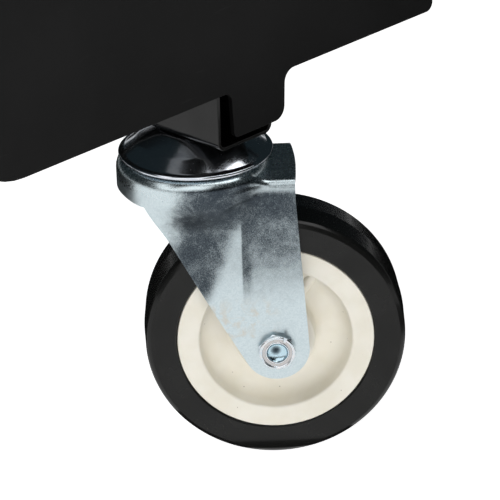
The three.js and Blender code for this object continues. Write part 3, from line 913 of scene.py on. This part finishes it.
# ---- axle, bearings and wheel --------------------------------------------------------------------
def build_axle_bolt():
    """Hex-head bolt: the head on the far leg, the cupped end inside the nut's collar."""
    head, end = LEG_FOOT + GAP, -LEG_FOOT - 2.75
    cup = [(3.8 * math.cos(a), end + 1.3 * math.sin(a)) for a in (9 * RAD * k for k in range(1, 10))]
    shank = [(0, head + 0.1), (4, head + 0.1), (4, end + 0.25), (3.88, end)] + cup + [(0, end + 1.3)]
    mesh = merge(turned(shank, 96, closed=False), hex_body(13, head, head + 5.3, 0.01, chamfer_low=False))
    finish_piece("axle_hex_bolt", mesh, HUB, "swivel", BLUE_ZINC, ["axle_bolt"])


def build_lock_nut():
    """Thin lock nut: hexagon with a rolled collar that grips the bolt's end, staked in one place."""
    low = -LEG_FOOT - GAP
    mesh = hex_body(12.7, low - 1.7, low, 4.05)
    bmesh.ops.rotate(mesh, verts=mesh.verts, matrix=Matrix.Rotation(-12 * RAD, 3, "Z"))
    collar = turned(
        rounded(
            [(4.05, low - 1.2), (6.7, low - 1.2), (6.85, low - 1.5, 0.1), (6.85, low - 2.6, 0.3),
             (6.3, low - 2.86, 0.3), (5.75, low - 2.6, 0.15), (5.6, low - 2.35, 0.1), (4.6, low - 2.35, 0.1),
             (4.4, low - 2.6, 0.15), (4.05, low - 2.6, 0.1)],
            steps=4,
        ),
        128,
    )
    nut = finish_piece("axle_nut", merge(mesh, collar), HUB, "swivel", BLUE_ZINC,
                       ["axle_lock_nut"])
    notch = bmesh.new()
    bmesh.ops.create_cube(notch, size=1)
    stake = Matrix.Rotation(-62 * RAD, 4, "Z") @ Matrix.Translation((6.4, 0, low - 2.5))
    carve(nut, notch, HUB @ stake @ Matrix.Diagonal((2.2, 0.9, 2.4, 1)))


def ring_piece(name, node, body, inner, outer, low, high, fillet=0.3):
    """A steel ring about the axle."""
    corners = [(inner, low, fillet), (outer, low, fillet), (outer, high, fillet), (inner, high, fillet)]
    finish_piece(name, turned(rounded(corners, 4, closed=True), 80), HUB, body, STEEL, [node])


def build_bearings():
    """Two ball bearings with their sleeve and spacers."""
    near, width, pitch, ball, count = 8.0, 7.0, 7.5, 1.8, 7
    bore, hub_face = 4.35, 15.3
    for side, sign in (("far", 1), ("near", -1)):
        low, high = sorted((sign * near, sign * (near + width)))
        ring_piece(f"inner_race_{side}", f"bearing_inner_ring_{side}", "swivel", bore, 5.4, low, high)
        ring_piece(f"outer_race_{side}", f"bearing_outer_ring_{side}", "wheel", 9.6, 11, low, high)
        middle = (low + high) / 2
        corners = [(pitch - 0.5, middle - 1.6, 0.3), (pitch + 0.5, middle - 1.6, 0.3),
                   (pitch + 0.5, middle + 1.6, 0.3), (pitch - 0.5, middle + 1.6, 0.3)]
        cage = turned(rounded(corners, 3, closed=True), 72)
        balls = []
        for k in range(count):
            turn = 2 * math.pi * k / count
            sphere = bmesh.new()
            bmesh.ops.create_icosphere(sphere, subdivisions=3, radius=ball)
            bmesh.ops.translate(sphere, verts=sphere.verts,
                                vec=(pitch * math.cos(turn), pitch * math.sin(turn), middle))
            balls.append(sphere)
        finish_piece(f"caged_balls_{side}", merge(cage, *balls), HUB, "bearing_cages", STEEL,
                     [f"bearing_cage_{side}"])
        faces = sorted((sign * hub_face, sign * (LEG_FOOT - FORK_SHEET - GAP)))
        ring_piece(f"wheel_spacer_{side}", f"axle_spacer_{side}", "swivel", bore, 6.2, *faces, 0.4)
    ring_piece("bearing_sleeve", "axle_sleeve", "swivel", bore, 6, GAP - near, near - GAP)


def build_wheel_core():
    """Moulded core: flat rim faces, dished webs, a tall boss and one half-round rib on each side."""
    rim, face, dish, boss = 37.5, 14.2, 29.0, 15.0
    boss_face, floor = 14.4, 4.6

    def side(sign):
        return [
            (11.35, sign * 7.7), (11.35, sign * boss_face, 0.4), (boss, sign * boss_face, 0.8),
            (boss + 0.9, sign * floor, 3.2), (dish - 1.6, sign * floor, 6.0), (dish + 0.2, sign * face, 1.0),
            (rim, sign * face, 0.5),
        ]

    profile = rounded([(8, 7.7)] + side(1) + list(reversed(side(-1))) + [(8, -7.7)], 8)
    mesh = turned(profile, 192)
    steps, arc, radius = 24, 14, 2.1
    foot, turn_of_rib = floor - 0.4, -56 * RAD
    for sign in (1, -1):
        rib = bmesh.new()
        rings = []
        for t in (i / steps for i in range(steps + 1)):
            along = blend(boss - 0.8, dish + 0.6, t)
            height = radius + 1.2 * (smooth(0.25, 0, t) + smooth(0.72, 1, t))
            width = radius * (1 + 0.35 * (smooth(0.3, 0, t) + smooth(0.7, 1, t)))
            turns = [math.pi * k / arc for k in range(arc + 1)]
            rings.append([rib.verts.new((along, width * math.cos(a), sign * (foot + height * math.sin(a))))
                          for a in turns])
        skin(rib, rings)
        rib.faces.new(rings[0])
        rib.faces.new(list(reversed(rings[-1])))
        bmesh.ops.rotate(rib, verts=rib.verts, cent=(0, 0, 0), matrix=Matrix.Rotation(turn_of_rib, 3, "Z"))
        merge(mesh, rib)
    finish_piece("moulded_wheel_core", mesh, HUB, "wheel", CREAM, ["wheel_core"], 50)


def build_tyre():
    """Moulded tyre: flat sides, small shoulder radius, slightly crowned tread with a mould line."""
    half, radius, seat = 14.5, WHEEL_RADIUS, 37.7

    def side(sign):
        return [
            (radius - 0.05, sign * 0.5), (radius - 0.5, sign * (half - 1.6), 3),
            (radius - 2.6, sign * half, 1.2), (seat + 0.5, sign * half, 0.3),
            (seat, sign * (half - 0.6), 0.2),
        ]

    mould_line = [(radius, 0)]
    profile = rounded(mould_line + side(1) + list(reversed(side(-1))), 8)
    finish_piece("moulded_tyre", turned(profile, 224), HUB, "wheel", URETHANE, ["tyre"], 50)


# ---- stage ---------------------------------------------------------------------------------------
def castor_point(x, y, z):
    """A point of the castor's frame, given in metres from the swivel axis and the floor."""
    return TRAIL_WAY * x + ACROSS * y + Vector((0, 0, FLOOR + z))


def stage_sheet(name, corners, material):
    """A flat four-cornered sheet that belongs to the studio."""
    data = bpy.data.meshes.new(name)
    data.from_pydata([tuple(c) for c in corners], [], [(0, 1, 2, 3)])
    data.materials.append(material)
    sheet = bpy.data.objects.new(name, data)
    bpy.context.scene.collection.objects.link(sheet)
    return sheet


def build_stage():
    """Pale floor that lights the part, a white sheet on it that only the camera sees, a dark studio
    with a pale backdrop, and black flags that only gloss sees."""
    pale = Finish("pale_floor", roughness=0.9, specular_ior_level=0.1, base_color=(0.8, 0.8, 0.8))
    pale.set(emission_color=(1, 1, 1), emission_strength=0.76)
    size, above = 8, 0.00005  # metres
    square = ((-size, -size), (size, -size), (size, size), (-size, size))
    stage_sheet("floor", [(x, y, FLOOR) for x, y in square], pale.material)
    paper = Finish("backdrop_white", roughness=1.0, specular_ior_level=0.0, base_color=(0.8, 0.8, 0.8))
    paper.set(emission_color=(1, 1, 1), emission_strength=1.0)
    sweep = stage_sheet("floor_white", [(x, y, FLOOR + above) for x, y in square], paper.material)
    sweep.visible_diffuse = sweep.visible_glossy = sweep.visible_shadow = False
    black = Finish("black_flag", roughness=1.0, specular_ior_level=0.0, base_color=(0.004, 0.005, 0.006))
    spans = {
        "side": (0.17, -0.15, 0.36, 0.5),
        "under": (-0.02, -0.02, 0.06, 0.03),
        "back": (-1.5, 0.03, 1.5, 1.5),
    }
    for step, (name, (x0, y0, x1, y1)) in enumerate(spans.items()):
        height = 0.002 + 0.001 * step
        corners = [castor_point(x, y, height) for x, y in ((x0, y0), (x1, y0), (x1, y1), (x0, y1))]
        flag = stage_sheet(name + "_flag", corners, black.material)
        flag.visible_camera = flag.visible_diffuse = flag.visible_shadow = False

    world = bpy.data.worlds.new("studio")
    bpy.context.scene.world = world
    world.use_nodes = True
    tree = world.node_tree
    dark = tree.nodes["Background"]
    dark.inputs["Color"].default_value = (0.5, 0.78, 0.9, 1)
    dark.inputs["Strength"].default_value = 0.021
    pale_back = tree.nodes.new("ShaderNodeBackground")
    pale_back.inputs["Color"].default_value = (1, 1, 1, 1)
    pale_back.inputs["Strength"].default_value = 0.95
    path = tree.nodes.new("ShaderNodeLightPath")
    both = tree.nodes.new("ShaderNodeMixShader")
    tree.links.new(path.outputs["Is Camera Ray"], both.inputs[0])
    tree.links.new(dark.outputs[0], both.inputs[1])
    tree.links.new(pale_back.outputs[0], both.inputs[2])
    tree.links.new(both.outputs[0], tree.nodes["World Output"].inputs["Surface"])


def softbox(name, way, distance, size, radiance, gloss=True, diffuse=True):
    """An area light in a direction of the castor's frame, facing the fork, of a given brightness."""
    light = bpy.data.lights.new(name, "AREA")
    light.shape = "RECTANGLE"
    light.size, light.size_y = size
    light.energy = radiance * math.pi * size[0] * size[1]
    lamp = bpy.data.objects.new(name, light)
    bpy.context.scene.collection.objects.link(lamp)
    target = castor_point(0.02, 0, 0.09)
    way = (TRAIL_WAY * way[0] + ACROSS * way[1] + Vector((0, 0, way[2]))).normalized()
    lamp.location = target + way * distance
    lamp.rotation_mode = "QUATERNION"
    lamp.rotation_quaternion = way.to_track_quat("Z", "Y")
    lamp.visible_glossy = gloss
    lamp.visible_diffuse = diffuse


def build_camera():
    """A long lens from the wheel's near side, a little above and slightly rolled."""
    azimuth, elevation, roll = -1.42 * RAD, 25.43 * RAD, 1.48 * RAD
    distance, focus = 1075.6, Vector((19.36, 0, 81.2))
    sensor, lens = 36.0, 203.7
    back = Vector((math.sin(azimuth) * math.cos(elevation), -math.cos(azimuth) * math.cos(elevation),
                   math.sin(elevation)))
    right = Vector((math.cos(azimuth), math.sin(azimuth), 0))
    up = back.cross(right)
    turned_right = right * math.cos(roll) - up * math.sin(roll)
    turned_up = right * math.sin(roll) + up * math.cos(roll)
    place = Matrix.Translation(focus + back * distance) @ Matrix(
        (
            (turned_right.x, turned_up.x, back.x, 0),
            (turned_right.y, turned_up.y, back.y, 0),
            (turned_right.z, turned_up.z, back.z, 0),
            (0, 0, 0, 1),
        )
    )
    data = bpy.data.cameras.new("camera")
    data.sensor_width = sensor
    data.lens = lens
    data.clip_end = 50
    camera = bpy.data.objects.new("camera", data)
    bpy.context.scene.collection.objects.link(camera)
    world = CASTOR @ place
    camera.matrix_world = Matrix.Translation(world.translation) @ world.to_quaternion().to_matrix().to_4x4()
    bpy.context.scene.camera = camera


build_camera()
build_end_plate()
build_cross_tube()
build_tube_plug()
for weld in ("right", "left"):
    build_weld("weld_" + weld, "weld_bead_" + weld)
build_race_cap()
build_lower_cup()
build_kingpin()
build_weld_nut()
build_balls("upper_ball", "upper_ball_race")
build_balls("lower_ball", "lower_ball_race")
build_fork()
build_axle_bolt()
build_lock_nut()
build_bearings()
build_wheel_core()
build_tyre()
build_stage()
softbox("overhead", (-0.6, -0.5, 1), 1.3, (0.9, 0.9), 2.0, gloss=False)
softbox("front_fill", (0.15, -1, 0.04), 1.3, (1.3, 0.7), 3.9, gloss=False)
softbox("top_haze", (-0.1, -0.15, 1), 1.2, (0.9, 0.9), 0.14, diffuse=False)
softbox("right_box", (0.28, 0.05, 0.87), 1.0, (0.9, 0.7), 2.4, diffuse=False)
softbox("front_key", (-0.35, -0.8, 0.62), 1.3, (1.7, 1.35), 1.3, diffuse=False)
bpy.context.scene.view_settings.view_transform = "Standard"
